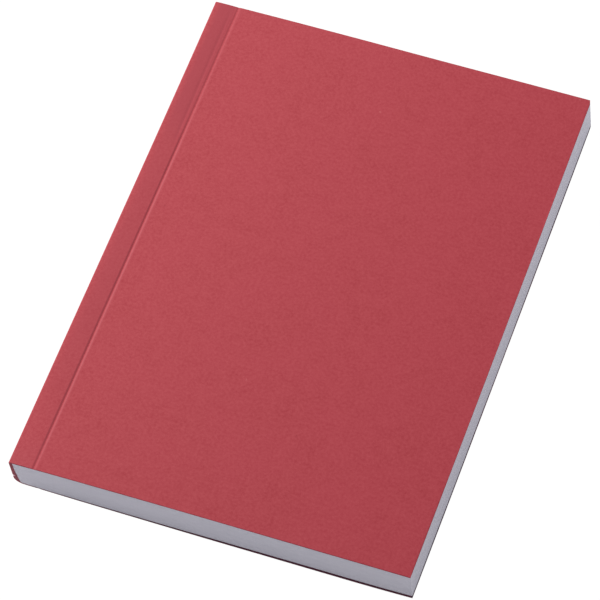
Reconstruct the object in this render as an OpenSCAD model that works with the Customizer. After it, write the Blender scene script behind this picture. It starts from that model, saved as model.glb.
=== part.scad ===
// Softcover notebook, perfect bound. A block of plain leaves is milled and glued at the
// spine into one sheet of coloured card, which wraps the spine and is scored beside it,
// so that each cover opens along its score.
// Spine at -X, fore-edge at +X, tail at -Y, head at +Y, back cover down.
// The origin is the centre of the back cover's outer face. Millimetres.

/* [Trimmed size] */
// Width from the spine's outer face to the trimmed fore-edge
notebook_w = 148; // [105:1:210]
// Height from tail to head
notebook_h = 210; // [148:1:297]

/* [Leaves] */
// Number of leaves in the block
leaf_count = 140; // [80:1:220]
// Thickness of one leaf
leaf_t = 0.1; // [0.08:0.01:0.14]

/* [Cover card] */
// Thickness of the card
card_t = 0.4; // [0.3:0.05:0.6]
// Outer radius of the spine fold on the front, which is nipped sharp
front_fold_r = 0.6; // [0.6:0.1:1.5]
// Outer radius of the spine fold on the back, which stays round
back_fold_r = 3.2; // [1.6:0.1:4]

/* [Cover scores] */
// From the spine's outer face to the middle of each score
hinge_strip_w = 9.1; // [7:0.1:14]
// Width of the pressed groove
score_w = 1.2; // [0.8:0.1:2]
// Depth of the pressed groove
score_depth = 0.18; // [0.1:0.02:0.24]

/* [Spine glue] */
// Film between the leaves' backs and the cover
spine_glue_t = 0.7; // [0.3:0.1:0.8]
// Film between the outer leaves and the cover's hinge strips
side_glue_t = 0.1; // [0.05:0.05:0.2]
// Bare card between the side film and the score
score_margin = 1.6; // [1:0.1:3]

/* [Milled notches] */
// Width of a notch along the spine
notch_w = 0.8; // [0.5:0.1:1.5]
// Depth of a notch into the leaves
notch_depth = 0.8; // [0.4:0.1:1.5]
// Distance from one notch to the next
notch_pitch = 6; // [3:0.5:12]
// Plain spine kept at the head and at the tail
notch_end = 6; // [3:0.5:15]

/* [Hidden] */
// From a cover's outer face to the leaves
cover_step = card_t + side_glue_t;
// Thickness over both covers
total_t = leaf_count * leaf_t + 2 * cover_step;
spine_x = -notebook_w / 2;
fore_x = notebook_w / 2;
score_x = spine_x + hinge_strip_w;
side_glue_x = score_x - score_margin;
// The leaves' backs, and the round that their back corner takes from the cover
block_x = spine_x + card_t + spine_glue_t;
block_fold_r = back_fold_r - card_t - spine_glue_t;
// Radius of an arc as wide as the score and as deep
score_r = (pow(score_w / 2, 2) + pow(score_depth, 2)) / (2 * score_depth);
notch_count = floor((notebook_h - 2 * notch_end - notch_w) / notch_pitch) + 1;
// How far a cutter runs past what it cuts
cut_over = 1;
$fn = 96;

// Lays a cross-section of the book, drawn in X and Z, along its whole height
module along_height() {
    rotate([90, 0, 0])
        linear_extrude(notebook_h, center = true)
            children();
}

// What the corner at the origin loses when it is rounded to radius r
module corner_waste(r) {
    if (r > 0)
        difference() {
            translate([-cut_over, -cut_over])
                square(r + cut_over);
            translate([r, r])
                circle(r);
        }
}

// The book's cross-section set in from its outer faces, with its two spine corners rounded
module book_section(left, right, inset, back_r, front_r) {
    difference() {
        translate([left, inset])
            square([right - left, total_t - 2 * inset]);
        translate([left, inset])
            corner_waste(back_r);
        translate([left, total_t - inset])
            mirror([0, 1])
                corner_waste(front_r);
    }
}

// The same set in from the cover's outer face, which keeps the card as thick round its folds
module cover_section(right, inset) {
    book_section(spine_x + inset, right, inset, back_fold_r - inset, front_fold_r - inset);
}

// The groove that the scoring wheel presses into the back cover's outer face
module score_section() {
    translate([score_x, score_depth - score_r])
        circle(score_r);
}

// Turns what is drawn for the back cover over, to the front
module front_side() {
    translate([0, total_t])
        mirror([0, 1])
            children();
}

module panel_section() {
    difference() {
        translate([score_x, 0])
            square([fore_x - score_x, card_t]);
        score_section();
    }
}

// Cuts across the leaves' backs, where the glue keys in
module notches() {
    for (i = [0 : notch_count - 1])
        translate([block_x - cut_over, (i - (notch_count - 1) / 2) * notch_pitch - notch_w / 2, 0])
            cube([cut_over + notch_depth, notch_w, total_t]);
}

// All the leaves, as one block
module text_block() {
    color([0.93, 0.93, 0.95])
        difference() {
            along_height()
                book_section(block_x, fore_x, cover_step, block_fold_r, 0);
            notches();
        }
}

// Hot-melt glue: it fills what is left between the block and the wrapped card
module spine_glue() {
    color([0.48, 0.22, 0.24])
        difference() {
            along_height()
                cover_section(side_glue_x, card_t);
            text_block();
        }
}

// The card's glued part: the spine with a strip on each side, up to the scores
module cover_spine() {
    color([0.70, 0.29, 0.32])
        along_height()
            difference() {
                cover_section(score_x, 0);
                cover_section(score_x + cut_over, card_t);
                score_section();
                front_side()
                    score_section();
            }
}

// The card's free parts, which open along the scores
module front_cover() {
    color([0.72, 0.30, 0.33])
        along_height()
            front_side()
                panel_section();
}

module back_cover() {
    color([0.68, 0.28, 0.31])
        along_height()
            panel_section();
}

text_block();
spine_glue();
cover_spine();
front_cover();
back_cover();
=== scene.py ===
import math

import bmesh
import bpy
import numpy as np
from mathutils import Matrix, Vector


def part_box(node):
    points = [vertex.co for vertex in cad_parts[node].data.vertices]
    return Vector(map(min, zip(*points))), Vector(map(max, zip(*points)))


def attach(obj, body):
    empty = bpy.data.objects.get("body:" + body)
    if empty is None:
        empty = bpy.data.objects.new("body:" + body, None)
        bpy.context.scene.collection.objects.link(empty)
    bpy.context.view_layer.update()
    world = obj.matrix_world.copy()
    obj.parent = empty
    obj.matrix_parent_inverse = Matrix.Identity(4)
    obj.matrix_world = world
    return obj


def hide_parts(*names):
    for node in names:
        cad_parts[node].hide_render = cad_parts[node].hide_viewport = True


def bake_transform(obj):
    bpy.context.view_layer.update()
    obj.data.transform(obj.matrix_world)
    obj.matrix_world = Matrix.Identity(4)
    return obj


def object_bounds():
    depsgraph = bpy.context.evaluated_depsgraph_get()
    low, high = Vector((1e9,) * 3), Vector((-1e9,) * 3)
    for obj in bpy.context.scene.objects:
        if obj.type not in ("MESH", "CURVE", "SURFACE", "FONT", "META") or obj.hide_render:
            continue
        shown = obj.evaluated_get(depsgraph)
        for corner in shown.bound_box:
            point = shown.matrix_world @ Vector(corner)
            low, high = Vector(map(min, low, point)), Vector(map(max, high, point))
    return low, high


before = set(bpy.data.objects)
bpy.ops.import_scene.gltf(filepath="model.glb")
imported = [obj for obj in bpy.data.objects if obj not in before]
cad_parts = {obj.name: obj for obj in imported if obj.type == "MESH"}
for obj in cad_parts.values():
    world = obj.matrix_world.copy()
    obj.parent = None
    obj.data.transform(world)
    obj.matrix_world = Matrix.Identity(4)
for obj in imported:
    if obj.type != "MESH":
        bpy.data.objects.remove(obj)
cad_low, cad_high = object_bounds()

mm = 0.001

# The leaves
# 140 sheets of smooth bright white paper, gathered into one block. Its back is milled and notched for
# the glue, and one cut through block and cover trims the tail, the head and the fore-edge.
leaf_count = 140
block_low, block_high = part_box("text_block")
leaf_t = (block_high.z - block_low.z) / leaf_count
# How much of a leaf's thickness the groove between it and the next one takes on each side
leaf_round = 0.12 * leaf_t
# How far single leaves, whole runs of them, and all of them together stand back from the cut. A run spans
# this many leaves and this many points of the outline
leaf_seed = 7
leaf_jitter = 0.010 * mm
run_sway = 0.022 * mm
run_span = (9, 5)
trim_setback = 0.035 * mm
# The cover's fold at the back, and the rounding that it gives the lower corner of the true block's back
back_fold_r = 3.2 * mm
block_fold_r = back_fold_r - (block_low.x - cad_low.x)
# On this book the lower leaves stand further back from the cover, by this power of their depth, and more
# glue fills the rounding
back_inset = 0.2 * mm
back_lean = 1.1 * mm
back_lean_power = 2.2
back_corner_r = 0.8 * mm
# The milled notches, which are those of the true book
notch_count = 33
notch_pitch = 6 * mm
notch_w = 0.8 * mm
notch_depth = 0.8 * mm
# About how far apart the points of the block's outline are
edge_step = 5 * mm
# The spine's tail end was squashed: thinner by this share, swollen above and dented in below this height
tail_nip = 0.155
nip_reach = 33 * mm
fold_swell = 0.52 * mm
swell_height = 0.22
swell_left_at_head = 0.25
# The fold is hollow along its length by this much, two thirds of the way up
fold_hollow = 0.2 * mm
fold_reach = 5 * mm
# The book leans over: to the spine, less so at the top of the fore-edge's tail corner and at the foot of
# its head corner, and towards the head
slant = 0.7 * mm
fore_slack = 0.22 * mm
fore_tuck = 0.11 * mm
head_lean = 0.2 * mm
# Neither the fore-edge nor the head is cut quite straight
fore_bow = 0.14 * mm
head_wave = 0.11 * mm
# The head is cut this far out of square, by this power of the way to the fore-edge, and its fore-edge
# corner was knocked in by this much
head_slip = 0.55 * mm
head_slip_power = 3
knock = 0.42 * mm
knock_reach = 1.6 * mm
# The back cover stays on the table where the leaves lift off it, fully from this share of the width on,
# and less at mid-height and in the last few mm at the head
leaf_lift = 1.15 * mm
full_lift_share = 0.83
lift_lost_midway = 0.25
midway_reach = 35 * mm
lift_lost_at_head = 0.35
head_reach = 12 * mm
# The back cover's two free corners stand a little off the table
corner_rise = 0.65 * mm
corner_reach = 25 * mm


def as_it_lies(x, y, z):
    """Where a point of the true book is on this one, squashed, leaning and not quite square."""
    from_spine = np.maximum(x - cad_low.x, 0)
    right = (x - cad_low.x) / (cad_high.x - cad_low.x)
    up = (y - cad_low.y) / (cad_high.y - cad_low.y)
    high = (z - cad_low.z) / (cad_high.z - cad_low.z)
    thinner = tail_nip * np.exp(-from_spine / nip_reach) * (1 - up)
    swell = fold_swell * (high - swell_height) * (1 - (1 - swell_left_at_head) * up)
    one_at_two_thirds = 27 / 4 * up ** 2 * (1 - up)
    one_midway = 4 * up * (1 - up)
    laid_x = x + (fold_hollow * one_at_two_thirds - swell) * np.exp(-from_spine / fold_reach)
    laid_x = laid_x + slant * (0.5 - high) + fore_slack * high * right * (1 - up)
    laid_x = laid_x - fore_tuck * (1 - high) * right * up + fore_bow * (one_midway - 0.5) * high * right
    near_corner = np.clip(1 - (cad_high.y - y) / knock_reach, 0, 1) * np.exp((x - cad_high.x) / knock_reach)
    laid_x = laid_x - knock * near_corner
    laid_y = y + head_lean * high - head_slip * up * right ** head_slip_power
    laid_y = laid_y + head_wave * up * np.sin(2 * math.pi * right)
    laid_z = cad_low.z + (cad_high.z - cad_low.z) * (0.5 + (high - 0.5) * (1 - thinner))
    return laid_x, laid_y, laid_z


def rise_of_corners(x, y):
    """How far the two lower fore-edge corners curl up."""
    near_fore = np.clip(1 - (cad_high.x - x) / corner_reach, 0, 1) ** 2
    near_ends = np.exp(-(y - cad_low.y) / corner_reach) + np.exp(-(cad_high.y - y) / corner_reach)
    return corner_rise * near_fore * near_ends


def lift_of_leaves(x, y):
    """How far the lowest leaf stands over the back cover."""
    right = np.clip((x - cad_low.x) / (cad_high.x - cad_low.x) / full_lift_share, 0, 1)
    held = lift_lost_midway * np.exp(-(y / midway_reach) ** 2)
    held = held + lift_lost_at_head * np.exp(-(cad_high.y - y) / head_reach)
    return leaf_lift * (1 - np.cos(math.pi * right)) / 2 * (1 - held)


def smooth_noise(rng, shape, reach):
    """Random values of mean square one, evened out over reach entries along each axis."""
    field = rng.standard_normal([n + 4 * r for n, r in zip(shape, reach)])
    for axis, r in enumerate(reach):
        window = np.hanning(2 * r + 3)[1:-1]
        field = np.apply_along_axis(lambda row: np.convolve(row, window / window.sum(), "same"), axis, field)
    inner = tuple(slice(2 * r, 2 * r + n) for n, r in zip(shape, reach))
    return field[inner] / field.std()


def mesh_piece(name, points, faces, finishes, finish_of_face=None, sharp_angle=35):
    """A closed mesh with no parent, smooth up to sharp_angle."""
    mesh = bpy.data.meshes.new(name)
    mesh.from_pydata([tuple(p) for p in points], [], faces)
    for finish in finishes:
        mesh.materials.append(finish)
    if finish_of_face is not None:
        mesh.polygons.foreach_set("material_index", finish_of_face)
    mesh.polygons.foreach_set("use_smooth", [True] * len(mesh.polygons))
    mesh.set_sharp_from_angle(angle=math.radians(sharp_angle))
    mesh.update()
    piece = bpy.data.objects.new(name, mesh)
    bpy.context.scene.collection.objects.link(piece)
    return piece


class Finish:
    """A material's node tree, built up in short calls."""

    def __init__(self, name, roughness, specular):
        self.material = bpy.data.materials.new(name)
        self.material.use_nodes = True
        self.tree = self.material.node_tree
        self.shader = self.tree.nodes["Principled BSDF"]
        self.shader.inputs["Roughness"].default_value = roughness
        self.shader.inputs["Specular IOR Level"].default_value = specular

    def node(self, kind, inputs=(), **settings):
        """A node of this kind. Each input is a value or another node's output."""
        made = self.tree.nodes.new("ShaderNode" + kind)
        for key, value in settings.items():
            setattr(made, key, value)
        for key, value in dict(inputs).items():
            if isinstance(value, bpy.types.NodeSocket):
                self.tree.links.new(value, made.inputs[key])
            else:
                made.inputs[key].default_value = value
        return made

    def noise(self, where, scale, detail=2.0, roughness=0.5):
        """A soft random pattern, about scale cells to a metre."""
        made = self.node("TexNoise", {"Vector": where, "Scale": scale,
                                      "Detail": detail, "Roughness": roughness})
        return made.outputs["Fac"]

    def spread(self, value, low, high, to_low=0.0, to_high=1.0):
        """value's stretch from low to high, carried to the stretch from to_low to to_high."""
        made = self.node("MapRange", {"Value": value, "From Min": low, "From Max": high,
                                      "To Min": to_low, "To Max": to_high})
        return made.outputs["Result"]

    def math(self, operation, a, b):
        return self.node("Math", {0: a, 1: b}, operation=operation).outputs["Value"]

    def stretch(self, where, by):
        """Coordinates multiplied by a vector."""
        return self.node("VectorMath", {0: where, 1: by}, operation="MULTIPLY").outputs["Vector"]

    def stored(self, name):
        """A value that the mesh keeps for each of its points."""
        return self.node("Attribute", attribute_name=name).outputs["Fac"]

    def mix(self, share, a, b, blend="MIX"):
        made = self.node("Mix", {"Factor": share}, data_type="RGBA", blend_type=blend)
        for socket, value in ((made.inputs[6], a), (made.inputs[7], b)):
            if isinstance(value, bpy.types.NodeSocket):
                self.tree.links.new(value, socket)
            else:
                socket.default_value = (*value, 1)
        return made.outputs[2]

    def colour(self, output):
        self.tree.links.new(output, self.shader.inputs["Base Color"])

    def bump(self, height, distance, strength):
        made = self.node("Bump", {"Height": height, "Distance": distance, "Strength": strength})
        self.tree.links.new(made.outputs["Normal"], self.shader.inputs["Normal"])


def cut_paper():
    """The trimmed edges: each leaf a hair lighter or darker, with faint marks where the knife went down."""
    dark_leaf = (0.775, 0.742, 0.82)
    light_leaf = (0.825, 0.79, 0.865)
    dark_run = (0.76, 0.730, 0.81)
    knife_mark = (0.62, 0.61, 0.68)
    finish = Finish("cut_paper", roughness=0.88, specular=0.25)
    place = finish.node("TexCoord").outputs["Object"]
    across_leaves = finish.noise(finish.stretch(place, (60, 60, 1 / leaf_t)), 1.0, 2.0, 0.6)
    runs = finish.noise(finish.stretch(place, (25, 25, 900)), 1.0, 2.0, 0.5)
    knife = finish.noise(finish.stretch(place, (2600, 2600, 45)), 1.0, 1.0)
    tone = finish.mix(finish.spread(across_leaves, 0.3, 0.7), dark_leaf, light_leaf)
    tone = finish.mix(finish.spread(runs, 0.35, 0.65, 0.0, 0.35), tone, dark_run)
    tone = finish.mix(finish.spread(knife, 0.58, 0.78, 0.0, 0.10), tone, knife_mark)
    finish.colour(tone)
    finish.bump(across_leaves, 0.02 * mm, 0.35)
    return finish.material


def leaf_face():
    """The flat of a leaf: white, with the soft cloudiness of pulp."""
    dark_pulp = (0.80, 0.79, 0.83)
    light_pulp = (0.84, 0.83, 0.865)
    finish = Finish("leaf_face", roughness=0.8, specular=0.3)
    place = finish.node("TexCoord").outputs["Object"]
    cloud = finish.noise(place, 260, 4.0, 0.6)
    tooth = finish.noise(place, 5200, 3.0, 0.6)
    finish.colour(finish.mix(finish.spread(cloud, 0.3, 0.7), dark_pulp, light_pulp))
    finish.bump(tooth, 0.01 * mm, 0.3)
    return finish.material


def block_outline():
    """The block's plan as corners to join: places, the way outwards, and which ones lie along the spine.
    It runs along the tail, up the fore-edge, back along the head and down through the notches."""
    width, height = block_high.x - block_low.x, block_high.y - block_low.y
    across = np.linspace(0, 1, round(width / edge_step) + 1)
    along = np.linspace(0, 1, round(height / edge_step) + 1)
    along = np.insert(along, -1, 1 - knock_reach / height)
    rows = []
    for t in across[:-1]:
        rows.append((block_low.x + t * width, block_low.y, 0, -1, 0))
    rows.append((block_high.x, block_low.y, 1, -1, 0))
    for t in along[1:-1]:
        rows.append((block_high.x, block_low.y + t * height, 1, 0, 0))
    rows.append((block_high.x, block_high.y, 1, 1, 0))
    for t in across[::-1][1:]:
        rows.append((block_low.x + t * width, block_high.y, 0, 1, 0))
    for i in reversed(range(notch_count)):
        middle = (i - (notch_count - 1) / 2) * notch_pitch
        for x, y in ((0, 1), (1, 1), (1, -1), (0, -1)):
            rows.append((block_low.x + x * notch_depth, middle + y * notch_w / 2, 0, 0, 1))
    plan = np.array(rows)
    plan[0, 4] = plan[2 * len(across) + len(along) - 3, 4] = 1
    return plan, len(across), len(along)


def rounding(z, radius):
    """How far the block's back stands in at height z, if its lower corner has this radius."""
    below = np.clip(block_low.z + radius - z, 0, radius)
    return radius - np.sqrt(radius ** 2 - below ** 2)


def back_stand_in(z):
    """How far this block's back stands in at height z, with its lean."""
    down = np.clip((block_high.z - z) / (block_high.z - block_low.z), 0, 1)
    return back_inset + back_lean * down ** back_lean_power + rounding(z, back_corner_r)


def leaf_flat(ring, plan_counts, first_new):
    """One outer leaf's flat side, over a ring of the outline: its inner points and its faces."""
    nx, ny = plan_counts

    def head(i):
        """The ring's point at the head, across from point i at the tail."""
        return nx + ny - 2 + nx - 1 - i

    number = np.empty((nx, ny), int)
    number[:, 0] = range(nx)
    number[:, -1] = [head(i) for i in range(nx)]
    number[-1, :] = range(nx - 1, nx - 1 + ny)
    number[1:-1, 1:-1] = first_new + np.arange((nx - 2) * (ny - 2)).reshape(nx - 2, ny - 2)
    tail_side, head_side, fore_side = ring[number[:, 0]], ring[number[:, -1]], ring[number[-1, :]]
    share = (fore_side[:, 1] - fore_side[0, 1]) / (fore_side[-1, 1] - fore_side[0, 1])
    share = share[None, 1:-1, None]
    inner = tail_side[1:-1, None] * (1 - share) + head_side[1:-1, None] * share
    strip = [0, 1, *number[1, 1:-1], head(1), *range(head(0), len(ring))]
    cells = [(number[i, j], number[i + 1, j], number[i + 1, j + 1], number[i, j + 1])
             for i in range(1, nx - 1) for j in range(ny - 1)]
    return inner.reshape(-1, 3), [strip] + cells


def leaf_block():
    """All the leaves as one closed mesh, in which every leaf's cut edge stands out or back by a hair."""
    rng = np.random.default_rng(leaf_seed)
    plan, *plan_counts = block_outline()
    n = len(plan)
    way = plan[:, 2:4]
    sway = smooth_noise(rng, (leaf_count, n), run_span) * run_sway
    sides = rng.standard_normal((leaf_count, 3)) * leaf_jitter
    which = np.where(way[:, 0] > 0, 1, np.where(way[:, 1] > 0, 2, 0))
    offset = np.minimum(sway + sides[:, which] - trim_setback, 0)
    lift = lift_of_leaves(plan[:, 0], plan[:, 1]) + rise_of_corners(plan[:, 0], plan[:, 1])
    rings = []
    for i in range(leaf_count):
        for z in (i * leaf_t + leaf_round, (i + 1) * leaf_t - leaf_round):
            low_share = 1 - z / (block_high.z - block_low.z)
            z += block_low.z + leaf_round * ((i == leaf_count - 1) - (i == 0))
            ring_x = plan[:, 0] + way[:, 0] * offset[i] + plan[:, 4] * back_stand_in(z)
            ring_y = plan[:, 1] + way[:, 1] * offset[i]
            laid = as_it_lies(ring_x, ring_y, np.full(n, z))
            rings.append(np.stack([laid[0], laid[1], laid[2] + lift * low_share], -1))
    following = np.roll(np.arange(n), -1)
    faces = []
    for r in range(len(rings) - 1):
        a, b = r * n, (r + 1) * n
        faces += [(a + i, a + j, b + j, b + i) for i, j in enumerate(following)]
    kinds = [0] * len(faces)
    points = np.concatenate(rings)
    for ring, base, flip in ((rings[0], 0, True), (rings[-1], len(points) - n, False)):
        inner, flat = leaf_flat(ring, plan_counts, n)
        shift = np.concatenate([np.arange(n) + base, np.arange(len(inner)) + len(points)])
        faces += [tuple(shift[list(f)].tolist())[::-1 if flip else 1] for f in flat]
        kinds += [1] * len(flat)
        points = np.concatenate([points, inner])
    return mesh_piece("leaves", points, faces, [cut_paper(), leaf_face()], kinds, 30)


leaves = leaf_block()
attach(leaves, "block")
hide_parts("text_block")

# The glue
# Clear hot-melt, laid on the milled back of the leaves and drawn a little way up both sides before the
# cover is pressed on. It fills the notches, and takes the shape that leaves and cover give it.
glue_cut_step = 15 * mm
glue_layer = 1.4 * mm
# A point this close to the leaves counts as lying on them
touch = 0.01 * mm


def hot_melt():
    """Clear glue over red card: it shows the card's colour, darker, and is smoother than paper."""
    thick_glue = (0.20, 0.017, 0.036)
    thin_glue = (0.30, 0.033, 0.060)
    finish = Finish("hot_melt", roughness=0.5, specular=0.25)
    place = finish.node("TexCoord").outputs["Object"]
    flow = finish.noise(finish.stretch(place, (900, 900, 350)), 1.0, 3.0, 0.6)
    finish.colour(finish.mix(finish.spread(flow, 0.35, 0.65), thick_glue, thin_glue))
    finish.bump(flow, 0.05 * mm, 0.4)
    return finish.material


def on_leaves(x, z):
    """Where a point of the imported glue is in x, once those on the leaves' back have moved with it."""
    true_back = block_low.x + rounding(z, block_fold_r)
    near_x = -touch < x - true_back < notch_depth + touch
    near_z = block_low.z - touch < z < block_high.z + touch
    return x + (back_stand_in(z) - rounding(z, block_fold_r)) * (near_x and near_z)


def glue_film():
    """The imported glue, cut into short lengths and low layers and laid the way the book lies."""
    form = bmesh.new()
    form.from_mesh(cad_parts["spine_glue"].data)
    cuts = [((0, y, 0), (0, 1, 0)) for y in
            np.arange(cad_low.y + glue_cut_step, cad_high.y - glue_cut_step / 2, glue_cut_step)]
    cuts += [((0, 0, z), (0, 0, 1)) for z in np.arange(block_low.z + glue_layer, block_high.z, glue_layer)]
    for place, way in cuts:
        bmesh.ops.bisect_plane(form, geom=form.verts[:] + form.edges[:] + form.faces[:],
                               plane_co=place, plane_no=way)
    for point in form.verts:
        x, y, z = point.co
        point.co = as_it_lies(on_leaves(x, z), y, z)
    points = [tuple(point.co) for point in form.verts]
    faces = [tuple(point.index for point in face.verts) for face in form.faces]
    form.free()
    return mesh_piece("glue", points, faces, [hot_melt()])


glue = glue_film()
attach(glue, "block")
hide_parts("spine_glue")

# The cover card
# One sheet of matt recycled card, dyed red right through. It is scored, wrapped round the glued back of
# the leaves, nipped sharp at the front fold and left round at the back one, then trimmed with them.
card_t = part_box("front_cover")[1].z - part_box("front_cover")[0].z
score_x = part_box("front_cover")[0].x
mid_z = (cad_low.z + cad_high.z) / 2
front_fold_r = 0.6 * mm
# Into how many steps the sheet is divided: over half the spine, round a fold, over the glued strip, across
# the groove from a little before it to a little past it, over the free cover, and from tail to head
spine_steps = 20
fold_steps = 12
strip_steps = 16
groove_steps = 50
groove_before = 1.5 * mm
groove_past = 2.5 * mm
panel_steps = 55
height_steps = 79
# The steps at the tail and at the head are shorter, up to this far in
end_zone = 6 * mm
# The pressed groove: how deep and wide, what share of it shows inside, how its spring-back shoulder runs
# out over the cover, and how it weakens: above where the scoring wheel slipped, towards the tail, and by a
# share of that towards the head
score_depth = 0.26 * mm
score_half_w = 0.86 * mm
inner_press = 0.2
shoulder_reach = 1.2 * mm
shoulder_rise = 0.02 * mm
wheel_slip_y = cad_low.y + 143 * mm
wheel_slip_run = 18 * mm
wheel_slip_share = 0.58
wheel_entry = 12 * mm
wheel_entry_share = 0.62
wheel_exit_share = 0.6
# The groove lies this much too far from the spine, and runs away from it from tail to head
score_off = 0.06 * mm
score_drift = 0.28 * mm
# Painted light in the groove's colour: painted shade on the wall on the spine's side, which faces away from
# the lamp, and a painted highlight on the other one, which faces it
shaded_wall_at = -0.50 * mm
shaded_wall_half_w = 0.66 * mm
shaded_wall_share = 1.1
lit_wall_at = 0.55 * mm
lit_wall_half_w = 0.8 * mm
lit_wall_share = 0.86
# A second, fainter mark of the wheel, which starts at the slip, drifts off to the spine and fades over the
# last stretch to the head
slip_mark_x = cad_low.x + 7.5 * mm
slip_mark_depth = 0.12 * mm
slip_mark_half_w = 0.75 * mm
slip_mark_run = 14 * mm
slip_drift = 0.5 * mm
slip_end = 10 * mm
# Painted shade on the slip mark's wall on the spine's side
slip_shade_at = -0.3 * mm
slip_shade_half_w = 0.6 * mm
# The glued strip between fold and score is a little domed, and sinks towards the score
strip_dome = 0.11 * mm
strip_sink = 0.10 * mm
strip_sink_end = 0.8 * mm
# The glue under the strip has darkened it: from a little past the fold, not at the tail, and twice as much
# above the slip
strip_soak = 0.55
soak_start = 1 * mm
soak_run = 2 * mm
soak_tail_start = 15 * mm
soak_tail_run = 45 * mm
soak_slip_run = 20 * mm
# The strip's tail end is rubbed pale, up to this far. The dark and the pale both fade out over the last
# stretch before the score
strip_rub = 0.20
rub_reach = 14 * mm
strip_fade = 1.5 * mm
# The free covers are never quite flat: waves of this height, over this many points, which start past the
# score and come in slowly
cover_wave = 0.035 * mm
wave_span = (14, 14)
wave_start = 3 * mm
wave_run = 30 * mm
# The knife pushes the card's two skins in by this much along each cut edge
card_burr = 0.05 * mm
cut_pull = 0.6 * card_burr
# Where the sheet has points through its thickness
card_depths = np.array([0, 0.12, 0.38, 0.62, 0.88, 1.0])
# The back cover's cut edges carry painted shade, that of the gap under the leaves, and so does a rim of this
# width on its inner face beside them, fully over the first part of it. The fore-edge is painted darker
# towards its two corners
shade_rim_w = 1.3 * mm
shade_rim_spread = 1.3
end_shade = 0.85
fore_shade = 0.85
corner_shade = 0.35
# A small tear in the card where the tail of the spine was knocked: dented in, with the pale core
# frayed out over the glue
nick_z = 5.1 * mm
nick_half_w = 0.45 * mm
nick_reach = 0.5 * mm
nick_dent = 0.22 * mm
fray_w = 0.40 * mm
fray_out = 0.06 * mm


def ramp(run, length):
    """0 up to the start, 1 from length on."""
    return np.clip(run / length, 0, 1)


def card_stations():
    """Where the sheet is divided along X beyond its fold, closer together at the score and the edge."""
    strip = np.linspace(0, 1, strip_steps + 1)[:-1]
    groove = np.linspace(-groove_before, groove_past, groove_steps + 1)
    panel = np.linspace(0, 1, panel_steps + 1)[1:]
    return strip, groove, panel


def height_stations():
    """Where the sheet is divided from tail to head, closer together at both ends."""
    near = np.array([0, 0.06, 0.15, 0.3, 0.5, 0.8, 1.3, 2.2, 3.6]) * mm
    middle = np.linspace(cad_low.y + end_zone, cad_high.y - end_zone, height_steps + 1)
    return np.concatenate([cad_low.y + near, middle, (cad_high.y - near)[::-1]])


def card_path(fold_r):
    """The sheet's outer line from the middle of the spine to the fore-edge: places in X and Z for a front
    cover, the unit normals out of it, and the length run so far."""
    strip, groove, panel = card_stations()
    spine = [(cad_low.x, z, -1, 0) for z in np.linspace(mid_z, cad_high.z - fold_r, spine_steps + 1)[:-1]]
    fold = []
    for a in np.linspace(0, math.pi / 2, fold_steps + 1)[:-1]:
        fold.append((cad_low.x + fold_r * (1 - math.cos(a)), cad_high.z - fold_r * (1 - math.sin(a)),
                     -math.cos(a), math.sin(a)))
    start, first, last = cad_low.x + fold_r, score_x + groove[0], score_x + groove[-1]
    flat = [start + t * (first - start) for t in strip]
    flat += [score_x + g for g in groove]
    flat += [last + t * (cad_high.x - last) for t in panel]
    flat[-1:-1] = [cad_high.x - shade_rim_w, cad_high.x - shade_rim_w / 2, cad_high.x - card_burr]
    rows = spine + fold + [(x, cad_high.z, 0, 1) for x in flat]
    path = np.array(rows)
    step = np.hypot(*np.diff(path[:, :2], axis=0).T)
    return path, np.concatenate([[0], np.cumsum(step)])


def wheel_strength(y):
    """How hard the scoring wheel pressed at height y."""
    slipped = ramp(y - wheel_slip_y, wheel_slip_run)
    near_ends = np.exp(-(y - cad_low.y) / wheel_entry)
    near_ends = near_ends + wheel_exit_share * np.exp(-(cad_high.y - y) / wheel_entry)
    return (1 - (1 - wheel_slip_share) * slipped) * (1 - (1 - wheel_entry_share) * near_ends)


def slip_strength(y):
    """The same for the slip mark: none below the slip, and none at the head."""
    return ramp(y - wheel_slip_y, slip_mark_run) * ramp(cad_high.y - y, slip_end)


def from_slip_mark(x, y):
    return x - slip_mark_x + slip_drift * ramp(y - wheel_slip_y, cad_high.y - wheel_slip_y)


def bell(offset, half_w):
    """1 in the middle and 0 from half_w outwards, smooth between."""
    return np.cos(np.clip(np.abs(offset) / half_w, 0, 1) * math.pi / 2) ** 2


def from_score(x, y):
    return x - score_x - score_off - score_drift * (y - cad_low.y) / (cad_high.y - cad_low.y)


def score_drop(x, y):
    """How far the scoring presses the card's face in."""
    past = ramp(from_score(x, y) - score_half_w, shoulder_reach)
    drop = score_depth * bell(from_score(x, y), score_half_w) * wheel_strength(y)
    slip = slip_mark_depth * bell(from_slip_mark(x, y), slip_mark_half_w) * slip_strength(y)
    middle, half = (cad_low.x + score_x) / 2, (score_x - cad_low.x) / 2
    dome = strip_dome * np.clip(1 - ((x - middle) / half) ** 2, 0, 1)
    sink = strip_sink * ramp(x - cad_low.x, 2 * half) * ramp(score_x + strip_sink_end - x, strip_sink_end)
    return drop + slip + sink - dome - shoulder_rise * np.sin(past * math.pi) ** 2


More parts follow.
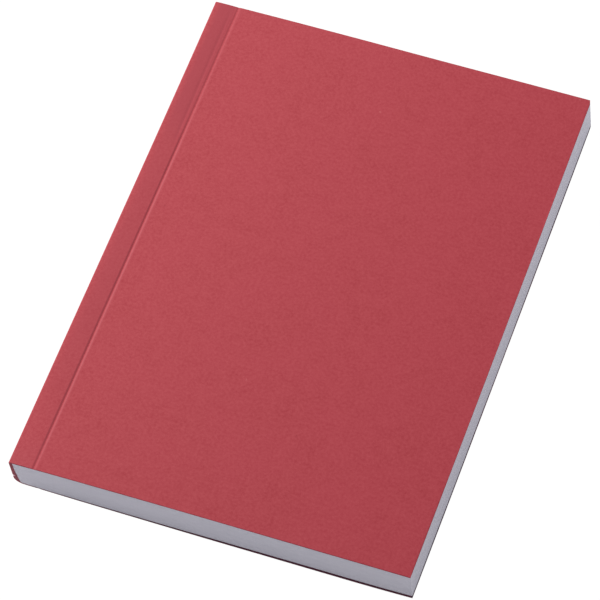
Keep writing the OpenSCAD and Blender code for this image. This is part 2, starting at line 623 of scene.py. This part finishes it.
def score_light_and_soak(x, y):
    """Painted light along the groove, in the card's colour: below 0 painted shade on the wall that lies
    deeper, away from the lamp, above 0 a painted highlight on the wall that faces the spine and the lamp. The
    soaked strip counts below 0 too, and the strip's rubbed tail end above 0."""
    shaded_wall = bell(from_score(x, y) - shaded_wall_at, shaded_wall_half_w) * wheel_strength(y)
    lit_wall = bell(from_score(x, y) - lit_wall_at, lit_wall_half_w) * wheel_strength(y)
    slipped = bell(from_slip_mark(x, y) - slip_shade_at, slip_shade_half_w) * slip_strength(y)
    before_score = ramp(score_x - x, strip_fade)
    soaked = ramp(x - cad_low.x - soak_start, soak_run) * before_score
    soaked = soaked * ramp(y - cad_low.y - soak_tail_start, soak_tail_run)
    soaked = soaked * (1 + ramp(y - wheel_slip_y, soak_slip_run))
    worn = before_score * np.clip(1 - (y - cad_low.y) / rub_reach, 0, 1)
    painted_wall_light = lit_wall_share * lit_wall - shaded_wall_share * shaded_wall - shaded_wall_share * slipped
    return painted_wall_light - strip_soak * soaked + strip_rub * worn


def card_sheet(name, fold_r, side, seed, finish):
    """Half of the sheet, from the middle of the spine to the fore-edge, with side 1 for the front and -1
    for the back. Rows run through the thickness, so that the cut edges have a face of their own."""
    rng = np.random.default_rng(seed)
    path, run = card_path(fold_r)
    ys = height_stations()
    nu, nv, nw = len(path), len(ys), len(card_depths)
    x, z = np.repeat(path[:, :1], nv, 1), np.repeat(path[:, 1:2], nv, 1)
    y = np.repeat(ys[None, :], nu, 0)
    lying_flat = path[:, 3:4] > 0.99
    on_spine = path[:, 2:3] < -0.5
    free = ramp(x - score_x - wave_start, wave_run)
    wave = smooth_noise(rng, (nu, nv), wave_span) * cover_wave * free * lying_flat
    pressed = score_drop(x, y) * lying_flat
    torn = np.exp(-((cad_high.z - z - nick_z) / nick_half_w) ** 2) * on_spine * (side < 0)
    torn = torn * np.exp(-(y - cad_low.y) / nick_reach)
    grid = np.empty((nu, nv, nw, 3))
    own = np.empty((nu, nv, nw, 3))
    for k, depth in enumerate(card_depths):
        inset = card_t * depth + pressed * (1 - (1 - inner_press) * depth) - wave
        px = x - path[:, 2:3] * inset + torn * (nick_dent + depth * fray_w)
        py = y - torn * fray_out
        pz = z - path[:, 3:4] * inset
        if depth in (0, 1):
            py[:, 0] += cut_pull
            py[:, -1] -= cut_pull
            px[-1] -= cut_pull
        if side < 0:
            pz = cad_low.z + cad_high.z - pz
        px, py, pz = as_it_lies(px, py, pz)
        if side < 0:
            pz = pz + rise_of_corners(x, y)
        grid[:, :, k] = np.stack([px, py, pz], -1)
        own[:, :, k] = np.stack([np.repeat(run[:, None], nv, 1) * side, y, np.full((nu, nv), depth * mm)], -1)
    number = np.arange(nu * nv * nw).reshape(nu, nv, nw)
    faces = []

    def skin_of(sheet, flip):
        a, b, c, d = sheet[:-1, :-1], sheet[1:, :-1], sheet[1:, 1:], sheet[:-1, 1:]
        quads = np.stack([a, b, c, d], -1).reshape(-1, 4)
        faces.extend(map(tuple, (quads[:, ::-1] if flip else quads).tolist()))

    turned = side < 0
    skin_of(number[:, :, 0], turned)
    skin_of(number[:, :, -1], not turned)
    skin_of(number[:, 0, :], not turned)
    skin_of(number[:, -1, :], turned)
    skin_of(number[0, :, :], turned)
    skin_of(number[-1, :, :], not turned)
    used = np.unique(np.concatenate([np.ravel(f) for f in faces]).astype(int))
    renumber = np.full(nu * nv * nw, -1)
    renumber[used] = np.arange(len(used))
    faces = [tuple(renumber[list(f)].tolist()) for f in faces]
    sheet = mesh_piece(name, grid.reshape(-1, 3)[used], faces, [finish])
    rest = sheet.data.attributes.new("sheet", "FLOAT_VECTOR", "POINT")
    rest.data.foreach_set("vector", own.reshape(-1, 3)[used].astype(np.float32).ravel())
    # Painted shade and highlight on the groove's walls, with the glue's soak and the rubbed tail end of the
    # strip
    light_and_soak = score_light_and_soak(x, y) * lying_flat
    # Painted shade along the back cover's cut edges and inner rim, where the gap under the leaves and the
    # table shade them
    on_ends = np.clip(shade_rim_spread - np.minimum(y - cad_low.y, cad_high.y - y) / shade_rim_w, 0, 1)
    on_fore = np.clip(shade_rim_spread - (cad_high.x - x) / shade_rim_w, 0, 1)
    on_fore = on_fore * (fore_shade + corner_shade * np.abs(y) / cad_high.y)
    painted_shade = np.maximum(end_shade * on_ends, on_fore) * lying_flat * (side < 0)
    for kept, values in (("torn", torn), ("light_and_soak", light_and_soak), ("painted_shade", painted_shade)):
        layer = sheet.data.attributes.new(kept, "FLOAT", "POINT")
        layer.data.foreach_set("value", np.repeat(values[:, :, None], nw, 2).ravel()[used].astype(np.float32))
    return sheet


def specks(finish, tone, place, scale, size, rarity, colour, strength):
    """Bits of other fibre: one in some of a scatter of cells, blurred at its rim."""
    cells = finish.node("TexVoronoi", {"Vector": place, "Scale": scale})
    near = finish.spread(cells.outputs["Distance"], size, size * 0.35)
    chosen = finish.node("SeparateXYZ", {0: cells.outputs["Color"]}).outputs["X"]
    there = finish.math("MULTIPLY", near, finish.math("GREATER_THAN", chosen, rarity))
    return finish.mix(finish.math("MULTIPLY", there, strength), tone, colour)


def red_card():
    """Dyed recycled card: faintly cloudy, finely grained, with a few pale and dark bits of fibre, with
    painted sheen towards the spine, on the lamp's side, and painted shade towards the fore-edge. Its cut edge
    is the same card seen end on. The back cover's cut edges and the rim of its inner face carry painted
    shade, that of the gap under the leaves and the table."""
    deep_red = (0.402, 0.0428, 0.0558)
    light_red = (0.442, 0.0556, 0.0690)
    patch_red = (0.450, 0.0525, 0.0712)
    grain_red = (0.526, 0.0860, 0.1005)
    tooth_red = (0.560, 0.101, 0.117)
    painted_sheen_at_spine = (1.0, 1.09, 1.05)
    painted_shade_at_fore_edge = (0.97, 0.90, 0.93)
    pale_fibre = (0.56, 0.135, 0.140)
    dark_fibre = (0.30, 0.035, 0.045)
    shade_and_soak_red = (0.390, 0.0600, 0.0750)
    highlight_and_rub_red = (0.500, 0.1150, 0.1300)
    core_red = (0.40, 0.052, 0.083)
    gap_shade = (0.11, 0.058, 0.10)
    frayed_core = (0.90, 0.52, 0.58)
    skin_t = 0.1 * mm
    finish = Finish("red_card", roughness=0.86, specular=0.22)
    place = finish.node("Attribute", attribute_name="sheet").outputs["Vector"]
    cloud = finish.noise(place, 200, 3.0, 0.55)
    patch = finish.noise(place, 45, 2.0, 0.5)
    grain = finish.noise(place, 900, 3.0, 0.65)
    tooth = finish.noise(place, 3200, 2.0, 0.6)
    tone = finish.mix(finish.spread(cloud, 0.32, 0.68), deep_red, light_red)
    tone = finish.mix(finish.spread(patch, 0.35, 0.65, 0.0, 0.50), tone, patch_red)
    tone = finish.mix(finish.spread(grain, 0.34, 0.66, 0.0, 0.60), tone, grain_red)
    tone = finish.mix(finish.spread(tooth, 0.50, 0.70, 0.0, 0.35), tone, tooth_red)
    run, _, depth = finish.node("SeparateXYZ", {0: place}).outputs
    # Painted sheen towards the spine, on the lamp's side, and painted shade towards the fore-edge, away from
    # it
    from_spine = finish.spread(finish.math("ABSOLUTE", run, 0.0), 5 * mm, 155 * mm)
    painted_sheen_and_shade = finish.mix(from_spine, painted_sheen_at_spine, painted_shade_at_fore_edge)
    tone = finish.mix(1.0, tone, painted_sheen_and_shade, "MULTIPLY")
    frayed = finish.noise(place, 700, 2.0)
    skewed = finish.node("VectorMath", {0: place, 1: finish.spread(frayed, 0, 1, 0, 2 * mm)}, operation="ADD")
    skewed = finish.stretch(skewed.outputs["Vector"], (1.0, 0.55, 1.0))
    tone = specks(finish, tone, skewed, 130, 0.060, 0.80, pale_fibre, 0.6)
    tone = specks(finish, tone, place, 90, 0.045, 0.86, dark_fibre, 0.5)
    # Painted shade on the groove's wall on the spine's side and a painted highlight on its other wall,
    # together with the real soak of the glue and the rubbed tail end of the strip
    light_and_soak = finish.stored("light_and_soak")
    tone = finish.mix(finish.spread(light_and_soak, 0, -1.0, 0.0, 0.75), tone, shade_and_soak_red)
    tone = finish.mix(finish.spread(light_and_soak, 0, 1.0, 0.0, 0.75), tone, highlight_and_rub_red)
    under_face = finish.spread(depth, 0.0, skin_t)
    inside = finish.math("MULTIPLY", under_face, finish.spread(depth, mm, mm - skin_t))
    tone = finish.mix(finish.math("MULTIPLY", inside, 0.6), tone, core_red)
    # Painted shade on the back cover's cut edges and the rim of its inner face, in the gap under the leaves
    shaded_edge = finish.math("MULTIPLY", under_face, finish.stored("painted_shade"))
    shaded_edge = finish.math("MULTIPLY", shaded_edge, finish.spread(inside, 0, 1, 0.92, 0.70))
    tone = finish.mix(shaded_edge, tone, gap_shade)
    tone = finish.mix(finish.spread(finish.stored("torn"), 0.15, 0.45), tone, frayed_core)
    finish.colour(tone)
    relief = finish.math("ADD", finish.math("MULTIPLY", grain, 0.6), finish.math("MULTIPLY", tooth, 0.4))
    finish.bump(relief, 0.05 * mm, 0.35)
    return finish.material


card = red_card()
for side, name, body, fold_r, outer_z, seed in (
        (1, "front_card", "front_cover", front_fold_r, cad_high.z, 11),
        (-1, "back_card", "back_cover", back_fold_r, cad_low.z, 12)):
    half = card_sheet(name, fold_r, side, seed, card)
    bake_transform(half)
    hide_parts(body, "cover_spine")

# The table
# A plain white board under soft light. To the camera it is almost pure white, and what it keeps of its
# own shading is the notebook's faint contact shadow.
board_half_w = 3.0
board_gap = 0.02 * mm
board_colour = (0.70, 0.70, 0.71, 1)
glow_strength = 1.075
glow_share = 0.93


def white_board():
    finish = Finish("white_board", roughness=0.9, specular=0.1)
    finish.shader.inputs["Base Color"].default_value = board_colour
    seen = finish.node("LightPath")
    direct = finish.math("MAXIMUM", seen.outputs["Is Camera Ray"], seen.outputs["Is Glossy Ray"])
    direct = finish.math("MAXIMUM", direct, seen.outputs["Is Transmission Ray"])
    glow = finish.node("Emission", {"Color": (1, 1, 1, 1), "Strength": glow_strength})
    share = finish.math("MULTIPLY", direct, glow_share)
    blend = finish.node("MixShader", {0: share, 1: finish.shader.outputs[0], 2: glow.outputs[0]})
    finish.tree.links.new(blend.outputs[0], finish.tree.nodes["Material Output"].inputs["Surface"])
    return finish.material


board_z = cad_low.z - board_gap
corners = [(-1, -1), (1, -1), (1, 1), (-1, 1)]
board = mesh_piece("table", [(x * board_half_w, y * board_half_w, board_z) for x, y in corners],
                   [(0, 1, 2, 3)], [white_board()])

# The light
# A soft lamp on the spine's side, rather low so that the score shows, a weak one behind to the right,
# and an even pale room. Together they light the front cover at a plain level.


def soft_lamp(name, place, width, watts):
    """A square lamp that is turned to the notebook."""
    lamp = bpy.data.lights.new(name, "AREA")
    lamp.shape = "SQUARE"
    lamp.size = width
    lamp.energy = watts
    lamp_object = bpy.data.objects.new(name, lamp)
    lamp_object.location = place
    lamp_object.rotation_euler = (-Vector(place)).to_track_quat("-Z", "Y").to_euler()
    bpy.context.scene.collection.objects.link(lamp_object)


soft_lamp("key", place=(-0.72, 0.23, 0.60), width=0.35, watts=8.2)
soft_lamp("back", place=(0.45, 0.40, 0.25), width=0.25, watts=0.46)

room = bpy.data.worlds.new("room")
bpy.context.scene.world = room
room.use_nodes = True
air = room.node_tree.nodes["Background"]
air.inputs["Color"].default_value = (0.94, 0.96, 1.0, 1)
air.inputs["Strength"].default_value = 0.412

# The camera
# A long lens, high over the tail and a little to the fore-edge's side, turned by a few degrees.
view_azimuth = math.radians(23.33)
view_elevation = math.radians(57.56)
view_roll = math.radians(-4.52)
view_distance = 1374.5 * mm
view_aim = Vector((-1.5, -6.2, 7.5)) * mm
frame_pixels = 600
focal_pixels = 3816.2

camera = bpy.data.cameras.new("camera")
camera.sensor_width = 36
camera.lens = focal_pixels / frame_pixels * camera.sensor_width
camera.clip_start = 0.05
camera.clip_end = 20
camera_object = bpy.data.objects.new("camera", camera)
back_way = Vector((math.sin(view_azimuth) * math.cos(view_elevation),
                   -math.cos(view_azimuth) * math.cos(view_elevation),
                   math.sin(view_elevation)))
camera_object.location = view_aim + back_way * view_distance
level = (-back_way).to_track_quat("-Z", "Y").to_matrix().to_4x4()
camera_object.matrix_world = (Matrix.Translation(camera_object.location) @ level
                              @ Matrix.Rotation(view_roll, 4, "Z"))
bpy.context.scene.collection.objects.link(camera_object)
bpy.context.scene.camera = camera_object

bpy.context.scene.view_settings.view_transform = "Standard"
